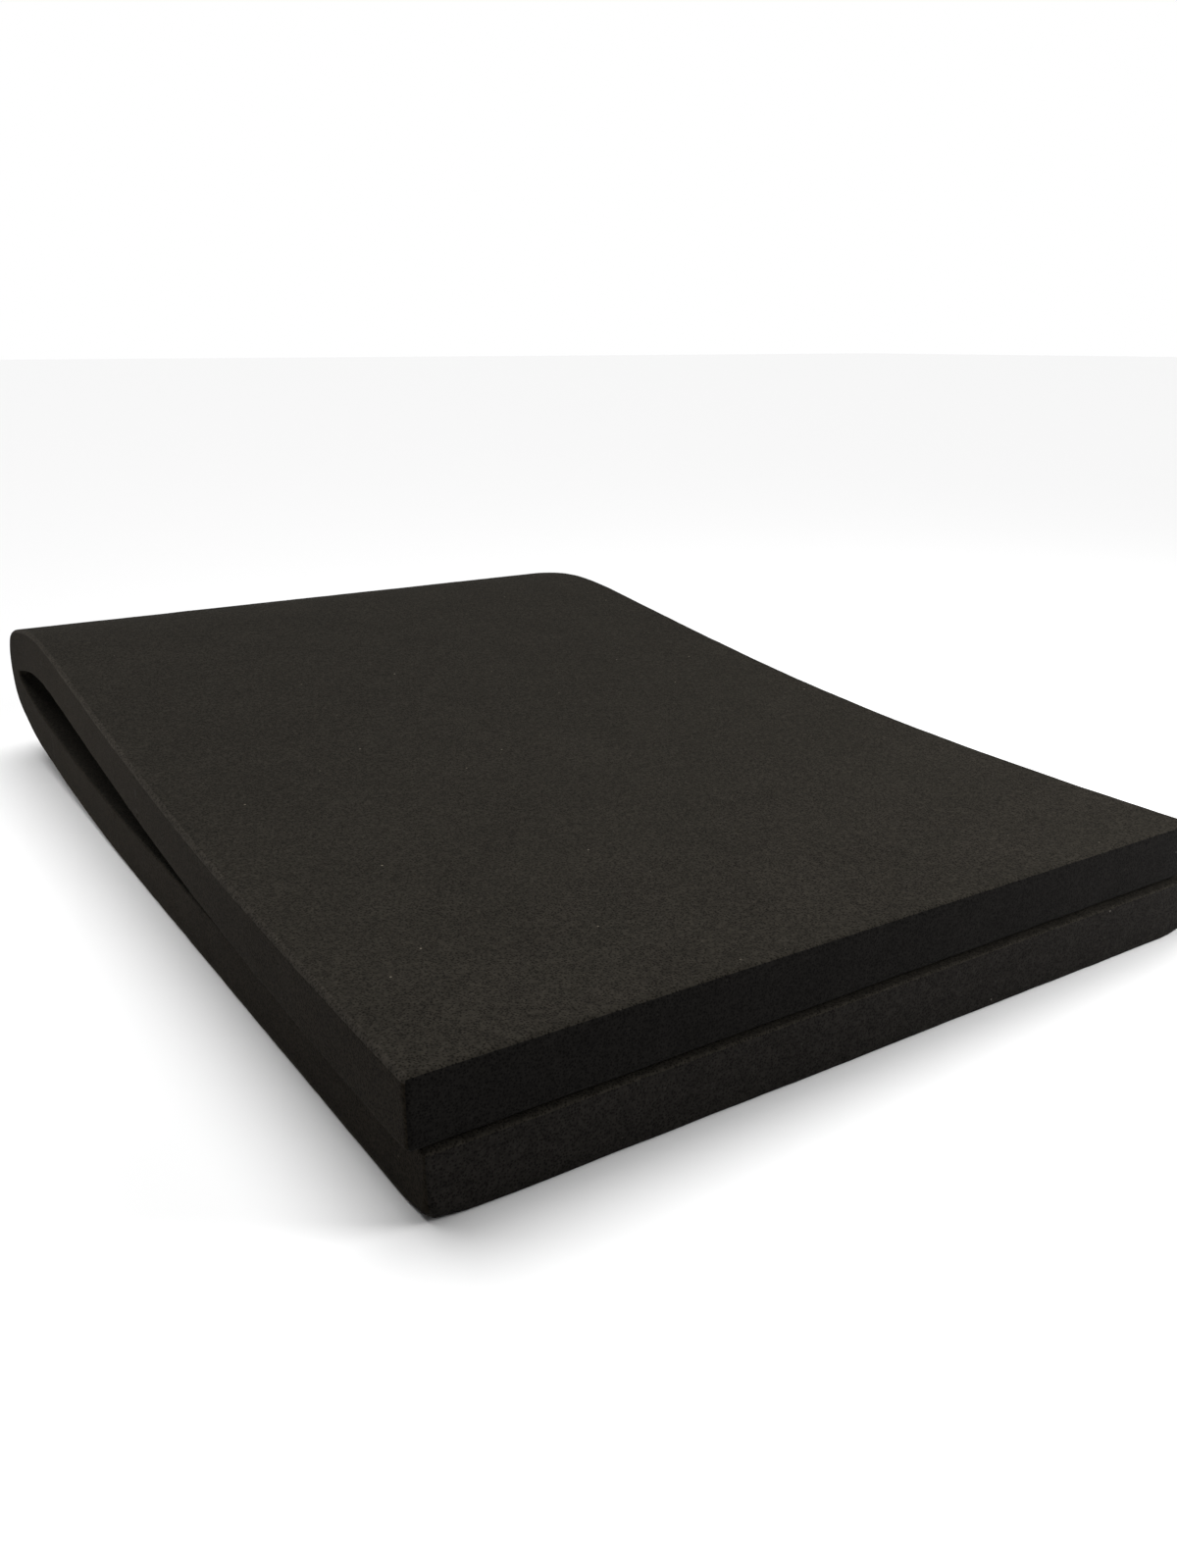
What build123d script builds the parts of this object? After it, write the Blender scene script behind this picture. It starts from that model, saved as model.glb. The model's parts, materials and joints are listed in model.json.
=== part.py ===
from build123d import *
import math
import os

# A foam sleeping mat: one flat sheet of open-cell foam, folded over once. The sheet is followed
# along the middle of its thickness, from the front end of the lower leaf, round the fold at the
# back and forward again to the front end of the upper leaf. X runs across the sheet, -Y is the
# front, and Z = 0 is the floor. Lengths are in millimetres and angles in degrees.

# The sheet
width = 600
thickness = 41

# How it lies folded: each stretch has a length along the middle of the sheet and a turn
floor_length = 492  # the lower leaf lies flat this far from its front end
lift_length = 336  # then it leaves the floor slowly
lift_turn = 7.2
rise_length = 79  # and faster, just before the fold
rise_turn = 13.8
fold_inner_radius = 2  # the inside of the fold closes almost to a line
fold_turn = 147.7
cheek_length = 35  # straight, above the fold
crown_length = 125  # the upper leaf bends over its highest part
ease_length = 445  # and flattens out again as it comes down on the lower leaf
end_length = 86  # flat at its front end
leaf_gap = 0.5  # clearance between the leaves where one lies on the other
front_step = 2  # the lower leaf's front end stands out past the upper leaf's
side_step = 7.5  # the lower leaf is skewed this far to +X at its front end

# How many stiff pieces stand for each bent stretch
lift_pieces = 3
rise_pieces = 2
fold_pieces = 6
crown_pieces = 3
ease_pieces = 3

fold_length = (thickness / 2 + fold_inner_radius) * math.radians(fold_turn)


def stretches(slope, ramp_length):
    """(name, pieces, length, turn) of each stretch, for a ramp that comes down at this slope."""
    crown_turn = 180 + slope - lift_turn - rise_turn - fold_turn
    return [
        ("lower_leaf", 1, floor_length, 0),
        ("lift", lift_pieces, lift_length, lift_turn),
        ("rise", rise_pieces, rise_length, rise_turn),
        ("fold", fold_pieces, fold_length, fold_turn),
        ("cheek", 1, cheek_length, 0),
        ("crown", crown_pieces, crown_length, crown_turn),
        ("ramp", 1, ramp_length, 0),
        ("ease", ease_pieces, ease_length, -slope),
        ("upper_leaf", 1, end_length, 0),
    ]


def straight_pieces(slope, ramp_length):
    """(name, length, heading) of every straight piece, from the front end to the other end."""
    pieces = []
    heading = 0
    for name, count, length, turn in stretches(slope, ramp_length):
        for i in range(count):
            piece = f"{name}_{i + 1}" if count > 1 else name
            pieces.append((piece, length / count, heading + turn * (i + 0.5) / count))
        heading += turn
    return pieces


def middle_line(pieces):
    """The corners (y, z) of the sheet's middle line. The upper leaf's front end is at y = 0."""
    points = [(-front_step, thickness / 2)]
    for _, length, heading in pieces:
        y, z = points[-1]
        along = math.radians(heading)
        points.append((y + length * math.cos(along), z + length * math.sin(along)))
    return points


def with_slope(slope):
    """The pieces, with the ramp as long as it must be for the two front ends to meet."""
    past_front = middle_line(straight_pieces(slope, 0))[-1][0]
    return straight_pieces(slope, past_front / math.cos(math.radians(slope)))


def settle():
    """Halves the range of slopes until the upper leaf comes to lie on the lower one."""
    wanted = 1.5 * thickness + leaf_gap
    low, high = 0.5, 35
    for _ in range(60):
        middle = (low + high) / 2
        if middle_line(with_slope(middle))[-1][1] > wanted:
            low = middle
        else:
            high = middle
    return with_slope(low)


def mitre(point, before, after, side):
    """Where a face of the sheet turns a corner. Side 1 is the outer face and -1 the inner one."""
    across = math.radians((before + after) / 2)
    reach = side * thickness / 2 / math.cos(math.radians(after - before) / 2)
    return (point[0] + reach * math.sin(across), point[1] - reach * math.cos(across))


pieces = settle()
names = [name for name, _, _ in pieces]
headings = [heading for _, _, heading in pieces]
corners = list(zip(middle_line(pieces), headings[:1] + headings, headings + headings[-1:]))
outer_face = [mitre(*corner, 1) for corner in corners]
inner_face = [mitre(*corner, -1) for corner in corners]

# The origin is at the middle of the floor area that the folded sheet covers
reach_back = max(y for y, _ in outer_face)
middle_y = (reach_back - front_step) / 2
left = -(width + side_step) / 2
lower_leaf_names = names[: names.index("fold_1")]


def skewed_plan():
    """The lower leaf's outline from above: in line with the fold at the back, skewed at the front."""
    front = [(left + side_step, -front_step), (left + side_step + width, -front_step)]
    back = [(left + width, reach_back), (left, reach_back)]
    return extrude(make_face(Polyline(*front, *back, close=True)), reach_back)


def sheet_piece(index):
    """One piece of the sheet, across its whole width."""
    outline = [outer_face[index], outer_face[index + 1], inner_face[index + 1], inner_face[index]]
    face = Plane.YZ.offset(left) * make_face(Polyline(*outline, close=True))
    if names[index] in lower_leaf_names:
        piece = extrude(face, width + side_step) & skewed_plan()
    else:
        piece = extrude(face, width)
    return Pos(0, -middle_y, 0) * piece


os.makedirs("parts", exist_ok=True)
for index, name in enumerate(names):
    export_step(sheet_piece(index), f"parts/{name}.step")
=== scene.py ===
import json
import math

import bpy
import numpy as np
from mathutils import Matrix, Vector, noise


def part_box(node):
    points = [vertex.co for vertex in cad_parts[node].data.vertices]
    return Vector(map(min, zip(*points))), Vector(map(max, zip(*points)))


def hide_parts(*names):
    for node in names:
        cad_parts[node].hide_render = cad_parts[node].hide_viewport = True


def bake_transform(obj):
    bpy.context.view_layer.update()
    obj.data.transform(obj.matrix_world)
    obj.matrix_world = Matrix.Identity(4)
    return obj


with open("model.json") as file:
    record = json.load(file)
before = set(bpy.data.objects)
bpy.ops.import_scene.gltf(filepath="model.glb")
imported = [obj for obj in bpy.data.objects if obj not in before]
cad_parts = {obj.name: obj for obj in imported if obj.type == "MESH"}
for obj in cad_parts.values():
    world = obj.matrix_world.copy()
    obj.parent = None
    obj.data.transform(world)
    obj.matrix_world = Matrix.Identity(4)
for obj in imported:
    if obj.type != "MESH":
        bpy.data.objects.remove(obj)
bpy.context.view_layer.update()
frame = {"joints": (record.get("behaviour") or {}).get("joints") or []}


# ---- Lower leaf ---------------------------------------------------------------------------------
# The half of the foam sheet that lies on the floor and lifts off it towards the fold. The whole mat
# is one sheet of open-cell polyurethane foam, skived to an even thickness and cut square with a
# band knife; nothing is sewn or glued on. It is made here in lengths, one for each bend.
lower_front, lower_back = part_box("lower_leaf")
upper_front, upper_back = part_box("upper_leaf")
thickness = upper_back.z - upper_front.z
width = upper_back.x - upper_front.x
left = upper_front.x
skew = lower_back.x - upper_back.x  # how far the lower leaf's front end is out of line
eased_edge = 0.0018  # a knife-cut edge of soft foam is never quite sharp
softened_edge = 0.0026  # the outer edges get this much rounder from the lower end to the upper one
highlight_width = 0.0034  # the strip of painted highlight on each side of the outer edges
lifted_edge = 0.0085  # the upper end is rubbed round where it meets the lower one
lifted_reach = 0.014
lifted_at_left = 0.3  # most at its right, and only this share as much at its left
stretched_edge = 0.0025  # how much rounder the outer edges are where the fold stretches them
stretched_reach = 0.07
worn_corner = 0.0085  # the lower corners drag on the floor and are rubbed round
worn_reach = 0.016
waviness = 0.0005  # the deepest hollow left by the blades
wave_length = 0.045
wave_falloff = 0.6  # shorter waves lie on the long ones: how fast they get shallower and closer
wave_spacing = 2.2
wave_layers = 3
grid = 0.006  # the mesh's usual step, and finer ones through the sheet and beside its edges
grid_through = 0.0045
edge_grid = 0.0016
edge_reach = 0.021
grid_slack = 0.01  # a stretch may be over by this share of a step before it gets one more
bend_step = math.radians(2.1)
hinges = frame["joints"]


def middle_corners():
    """The corners (y, z) of the sheet's middle line, from its lower front end to its upper one."""
    found = [(lower_front.y, thickness / 2)]
    heading = 0
    for hinge in hinges:
        turn = math.radians(hinge["range_deg"][1])
        side = 1 if hinge["axis"][0] < 0 else -1
        across = heading + side * turn / 2
        reach = side * thickness / 2 / math.cos(turn / 2)
        _, y, z = hinge["pos_m"]
        found.append((y - reach * math.sin(across), z + reach * math.cos(across)))
        heading += side * turn
    found.append((upper_front.y, (upper_front.z + upper_back.z) / 2))
    return np.array(found)


corners = middle_corners()
runs = np.diff(corners, axis=0)
run_lengths = np.linalg.norm(runs, axis=1)
headings = np.arctan2(runs[:, 1], runs[:, 0]) % (2 * math.pi)
corner_at = np.concatenate([[0], np.cumsum(run_lengths)])
run_middles = (corner_at[1:] + corner_at[:-1]) / 2
bend_reach = np.minimum(run_lengths[1:], run_lengths[:-1]) / 2
bent_bodies = [hinge["child"] for hinge in hinges]
fold_at = bent_bodies.index("fold_1")
crown_at = bent_bodies.index("crown_1")
fold_middle = (corner_at[fold_at + 1] + corner_at[crown_at]) / 2


def place(distance):
    """(y, z, heading) of the middle line at a distance along it, with each corner bent round."""
    for number, reach in enumerate(bend_reach):
        into = distance - (corner_at[number + 1] - reach)
        if 0 <= into <= 2 * reach:
            before = headings[number]
            turn = headings[number + 1] - before
            radius = reach / math.tan(turn / 2)
            heading = before + turn * into / (2 * reach)
            y, z = corners[number + 1] - reach * np.array([math.cos(before), math.sin(before)])
            y += radius * (math.sin(heading) - math.sin(before))
            z -= radius * (math.cos(heading) - math.cos(before))
            return y, z, heading
    number = min(int(np.searchsorted(corner_at, distance, side="right")), len(runs)) - 1
    share = (distance - corner_at[number]) / run_lengths[number]
    return *(corners[number] + share * runs[number]), headings[number]


def lines(start, end, step, cut_start=False, cut_end=False):
    """Grid lines from start to end, up to a step apart, and closer on and beside a cut edge."""

    def evenly(low, high, gap):
        steps = max(1, math.ceil((high - low) / gap - grid_slack))
        return list(np.linspace(low, high, steps + 1))

    reach = min(edge_reach, (end - start) / 3)
    half_round = eased_edge * (1 - math.tan(math.pi / 8))
    edge = [0, half_round, *evenly(eased_edge, reach, edge_grid)]
    head = [start + d for d in edge] if cut_start else [start]
    tail = [end - d for d in reversed(edge)] if cut_end else [end]
    return [*head, *evenly(head[-1], tail[0], step)[1:-1], *tail]


def lines_along(number):
    """Grid lines across the length about one hinge, between the middles of the runs it joins."""
    at, reach = corner_at[number + 1], bend_reach[number]
    first, last = number == 0, number == len(hinges) - 1
    start = 0 if first else run_middles[number]
    end = corner_at[-1] if last else run_middles[number + 1]
    turn = abs(headings[number + 1] - headings[number])
    bent = lines(at - reach, at + reach, min(grid, 2 * reach * bend_step / turn))
    before = lines(start, at - reach, grid, cut_start=first)
    after = lines(at + reach, end, grid, cut_end=last)
    return np.unique(np.round(bent + before + after, 9))


def shaped(along, across, through):
    """Points of the sheet with its edges eased, its corners worn and its faces slightly hollowed."""
    points = np.stack([along, across, through], axis=-1)
    length, half = corner_at[-1], thickness / 2
    low = np.array([0, left, -half])
    high = np.array([length, left + width, half])
    ease = np.full(len(points), eased_edge)
    for side in (left, left + width):
        away = np.linalg.norm(points - np.array([0, side, half]), axis=1)
        ease += (worn_corner - eased_edge) * np.exp(-((away / worn_reach) ** 2))
    outward = (through + half) / thickness
    ease += softened_edge * outward * along / length
    ease += stretched_edge * outward * np.exp(-(((along - fold_middle) / stretched_reach) ** 2))
    away = np.hypot(along - length, through + half)
    to_right = lifted_at_left + (1 - lifted_at_left) * (across - left) / width
    ease += (lifted_edge - eased_edge) * to_right * np.exp(-((away / lifted_reach) ** 2))
    core = np.clip(points, low + ease[:, None], high - ease[:, None])
    out = points - core
    out /= np.maximum(np.linalg.norm(out, axis=1), 1e-12)[:, None]
    points = core + ease[:, None] * out
    waves = (wave_falloff, wave_spacing, wave_layers)
    hollow = [noise.fractal(Vector(p) / wave_length, *waves) for p in points]
    depth = waviness * np.clip(0.5 + 0.5 * np.array(hollow), 0, 1)
    return points - depth[:, None] * out


def laid(points):
    """The shaped points where the folded sheet lies."""
    placed = {d: place(d) for d in np.unique(points[:, 0])}
    y, z, heading = np.array([placed[d] for d in points[:, 0]]).T
    to_fold = np.clip(1 - points[:, 0] / corner_at[fold_at + 1], 0, 1)
    x = points[:, 1] + skew * to_fold
    out_y = points[:, 2] * np.sin(heading)
    out_z = points[:, 2] * np.cos(heading)
    return np.stack([x, y + out_y, z - out_z], axis=1)


cell_size = 0.0015
cluster_size = 0.003
blotch_size = 0.008
cloud_size = 0.06
bright_cell_spacing = 0.0045
lint_spacing = 0.014
relief_depth = 0.0004


def foam(name, shade, relief=0.5):
    """Charcoal open-cell foam: dark pores, pale struts, uneven tone, odd bright cells and lint."""
    material = bpy.data.materials.new(name)
    material.use_nodes = True
    nodes, links = material.node_tree.nodes, material.node_tree.links
    surface = nodes["Principled BSDF"]
    surface.inputs["Specular IOR Level"].default_value = 0.03
    surface.inputs["Sheen Weight"].default_value = 0.006
    block = nodes.new("ShaderNodeTexCoord").outputs["Object"]

    def texture(kind, size, **settings):
        node = nodes.new(kind)
        node.inputs["Scale"].default_value = 1 / size
        for key, value in settings.items():
            node.inputs[key].default_value = value
        links.new(block, node.inputs["Vector"])
        return node.outputs

    def spread(value, low, high, to_low, to_high):
        node = nodes.new("ShaderNodeMapRange")
        node.interpolation_type = "SMOOTHSTEP"
        ends = {"From Min": low, "From Max": high, "To Min": to_low, "To Max": to_high}
        for key, number in ends.items():
            node.inputs[key].default_value = number
        links.new(value, node.inputs["Value"])
        return node.outputs["Result"]

    def combine(operation, first, second):
        node = nodes.new("ShaderNodeMath")
        node.operation = operation
        links.new(first, node.inputs[0])
        links.new(second, node.inputs[1])
        return node.outputs["Value"]

    def red_of(colour):
        node = nodes.new("ShaderNodeSeparateColor")
        links.new(colour, node.inputs["Color"])
        return node.outputs["Red"]

    cell = texture("ShaderNodeTexVoronoi", cell_size)
    struts = spread(cell["Distance"], 0.1, 0.6, 0.45, 1.4)
    cluster = texture("ShaderNodeTexNoise", cluster_size, Detail=2.0, Roughness=0.6)
    clusters = spread(cluster["Fac"], 0.32, 0.68, 0.8, 1.2)
    blotch = texture("ShaderNodeTexNoise", blotch_size, Detail=2.0)
    blotches = spread(blotch["Fac"], 0.3, 0.7, 0.94, 1.06)
    cloud = texture("ShaderNodeTexNoise", cloud_size, Detail=3.0)
    clouds = spread(cloud["Fac"], 0.3, 0.7, 0.95, 1.05)
    grain = combine("MULTIPLY", struts, clusters)
    bright = texture("ShaderNodeTexVoronoi", bright_cell_spacing)
    bright_cells = combine("MULTIPLY", spread(bright["Distance"], 0.1, 0.24, 1, 0),
                           spread(red_of(bright["Color"]), 0.7, 1, 0, 0.8))
    lint = texture("ShaderNodeTexVoronoi", lint_spacing)
    lint_specks = combine("MULTIPLY", spread(lint["Distance"], 0.035, 0.065, 1, 0),
                          spread(red_of(lint["Color"]), 0.8, 0.9, 0, 8))
    tones = combine("MULTIPLY", combine("MULTIPLY", grain, blotches), clouds)
    tones = combine("ADD", combine("ADD", tones, bright_cells), lint_specks)
    colour = nodes.new("ShaderNodeVectorMath")
    colour.operation = "SCALE"
    colour.inputs[0].default_value = shade
    links.new(tones, colour.inputs["Scale"])
    links.new(colour.outputs["Vector"], surface.inputs["Base Color"])
    links.new(spread(cell["Distance"], 0.1, 0.6, 1.0, 0.88), surface.inputs["Roughness"])
    bump = nodes.new("ShaderNodeBump")
    bump.inputs["Strength"].default_value = relief
    bump.inputs["Distance"].default_value = relief_depth
    links.new(grain, bump.inputs["Height"])
    links.new(bump.outputs["Normal"], surface.inputs["Normal"])
    return material


skived, shaded_side_cut, shaded_upper_end_cut, shaded_lower_end_cut, edge_highlight = range(5)
finishes = [
    foam("skived_foam", (0.0155, 0.0137, 0.0108)),
    # The cut sides: a darker copy of the same foam, painted shade that makes the sides darker than
    # the lamps leave them.
    foam("side_cut_painted_shade_foam", (0.0093, 0.0075, 0.0052), relief=0.2),
    # The upper leaf's cut front end: a much darker copy of the same foam, painted shade on the end
    # that faces away from the light.
    foam("upper_end_painted_shade_foam", (0.0053, 0.0049, 0.0044), relief=0.2),
    # The lower leaf's cut front end: a darker copy of the same foam, painted shade, kept lighter
    # than the upper end's as painted light standing in for light bounced up off the floor, not dust.
    foam("lower_end_painted_shade_foam", (0.0096, 0.0087, 0.0076), relief=0.2),
    # The strips along the outer edges: a lighter copy of the same foam, a painted highlight where
    # the rounded edges catch the light.
    foam("painted_edge_highlight_foam", (0.0222, 0.0195, 0.0158), relief=0.2),
]


def beside(lines_across, strip, *edges):
    """Which gaps between grid lines lie in a strip beside one of these edges."""
    middles = (lines_across[1:] + lines_across[:-1]) / 2
    return np.any([abs(middles - edge) < strip for edge in edges], axis=0)


def foam_length(number):
    """A closed mesh of the foam that bends about one hinge, and the points at its two ends."""
    half = thickness / 2
    along = lines_along(number)
    across = np.array(lines(left, left + width, grid, True, True))
    through = np.array(lines(-half, half, grid_through, True, True))
    counts = (len(along), len(across), len(through))
    vertex = np.full(counts, -1)
    outside = np.ones(counts, bool)
    outside[1:-1, 1:-1, 1:-1] = False
    vertex[outside] = np.arange(outside.sum())
    i, j, k = np.nonzero(outside)
    points = laid(shaped(along[i], across[j], through[k]))
    sides = beside(across, highlight_width, left, left + width)
    outer_edge = beside(through, highlight_width, half)
    inner_edge = beside(through, eased_edge, -half)
    faces, kinds = [], []
    # Each side of the foam with its finish, and the strips along its edges that have another one: a
    # painted highlight along the outer edges, and on the lower end the top's lighter tone along its
    # top edge, a painted highlight on the lit ledge
    for sheet, finish, strip_rows, strip_columns, strip_finish in (
        (vertex[:, :, -1], skived, [], sides, edge_highlight),
        (vertex[:, :, 0].T, skived, [], [], skived),
        (vertex[:, 0, :], shaded_side_cut, [], outer_edge, edge_highlight),
        (vertex[:, -1, :].T, shaded_side_cut, outer_edge, [], edge_highlight),
        (vertex[0].T, shaded_lower_end_cut, inner_edge, [], skived),
        (vertex[-1], shaded_upper_end_cut, [], [], shaded_upper_end_cut),
    ):
        square = [sheet[:-1, :-1], sheet[1:, :-1], sheet[1:, 1:], sheet[:-1, 1:]]
        faces.append(np.stack(square, axis=-1).reshape(-1, 4))
        kind = np.full(square[0].shape, finish)
        kind[strip_rows, :] = strip_finish
        kind[:, strip_columns] = strip_finish
        kinds.append(kind.ravel())
    mesh = bpy.data.meshes.new("foam_" + hinges[number]["child"])
    mesh.from_pydata(points.tolist(), [], np.concatenate(faces).tolist())
    for material in finishes:
        mesh.materials.append(material)
    mesh.polygons.foreach_set("material_index", np.concatenate(kinds))
    mesh.shade_smooth()
    mesh.set_sharp_from_angle(angle=math.radians(60))
    piece = bpy.data.objects.new(mesh.name, mesh)
    bpy.context.scene.collection.objects.link(piece)
    return piece, points[vertex[0].ravel()], points[vertex[-1].ravel()]


def add_length(number):
    """Makes the foam about one hinge, and hides the imported part of the body that the hinge moves.
    """
    hinge = hinges[number]
    piece, first_end, last_end = foam_length(number)
    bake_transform(piece)
    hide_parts(hinge["child"])
    return piece


for number in range(fold_at):
    length = add_length(number)
    if number == 0:
        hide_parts("lower_leaf")


# ---- Fold ---------------------------------------------------------------------------------------
# The same foam bent back on itself: stretched round the outside and pinched almost to a line on
# the inside, where a narrow hollow is left. It is held closed only by the weight of the upper leaf.
for number in range(fold_at, crown_at):
    add_length(number)


# ---- Upper leaf ---------------------------------------------------------------------------------
# The other half of the sheet. It bends over a low crown, slopes down from the fold and comes to lie
# flat on the lower leaf at the front, where its cut end stops just short of the one below.
for number in range(crown_at, len(hinges)):
    add_length(number)


# ---- Floor --------------------------------------------------------------------------------------
# A plain pale floor with a matt finish, much larger than the mat, for it to lie on.
floor_size = 60
floor_mesh = bpy.data.meshes.new("floor")
far = floor_size / 2
floor_corners = [(-far, -far, 0), (far, -far, 0), (far, far, 0), (-far, far, 0)]
floor_mesh.from_pydata(floor_corners, [], [(0, 1, 2, 3)])
floor = bpy.data.objects.new("floor", floor_mesh)
bpy.context.scene.collection.objects.link(floor)
paint = bpy.data.materials.new("pale_paint")
paint.use_nodes = True
coat = paint.node_tree.nodes["Principled BSDF"]
coat.inputs["Base Color"].default_value = (0.93, 0.93, 0.93, 1)
coat.inputs["Roughness"].default_value = 0.9
coat.inputs["Specular IOR Level"].default_value = 0.1
floor_mesh.materials.append(paint)


# ---- Light --------------------------------------------------------------------------------------
# Soft studio light: a very broad one high above, a little behind the mat, a low window close by its
# left side, and a fill off its front right corner. The white room is only seen and gives no light.
def show(name, lamp, position, aim):
    """Puts a light at a position, facing a point. The light itself is never seen."""
    holder = bpy.data.objects.new(name, lamp)
    holder.location = position
    holder.rotation_euler = (Vector(aim) - Vector(position)).to_track_quat("-Z", "Y").to_euler()
    holder.visible_camera = False
    bpy.context.scene.collection.objects.link(holder)


def panel(name, position, aim, size, power):
    """A square panel of soft light."""
    lamp = bpy.data.lights.new(name, "AREA")
    lamp.size = size
    lamp.energy = power
    show(name, lamp, position, aim)


sky = bpy.data.lights.new("broad", "SUN")
sky.energy = 3.6
sky.angle = math.radians(60)
show("broad", sky, position=(0.1, 0.5, 1), aim=(0, 0, 0))
panel("window", position=(-0.8, 0.2, 0.14), aim=(-0.3, 0.12, 0.06), size=0.3, power=1.7)
panel("fill", position=(1.05, -1.05, 0.62), aim=(0.2, -0.47, 0.05), size=0.7, power=18.5)
room = bpy.data.worlds.new("white_room")
room.use_nodes = True
room.node_tree.nodes["Background"].inputs["Color"].default_value = (1, 1, 1, 1)
room.cycles_visibility.diffuse = False
room.cycles_visibility.glossy = False
bpy.context.scene.world = room
bpy.context.scene.view_settings.view_transform = "Standard"


# ---- Camera -------------------------------------------------------------------------------------
# Held at about knee height off the mat's front left corner, looking down and along it to the fold.
camera = bpy.data.objects.new("camera", bpy.data.cameras.new("camera"))
camera.location = (-0.5081, -0.9349, 0.3972)
camera.rotation_euler = (math.radians(70.94), 0, math.radians(-33.03))
camera.data.lens = 29.51
camera.data.clip_start = 0.01
bpy.context.scene.collection.objects.link(camera)
bpy.context.scene.camera = camera
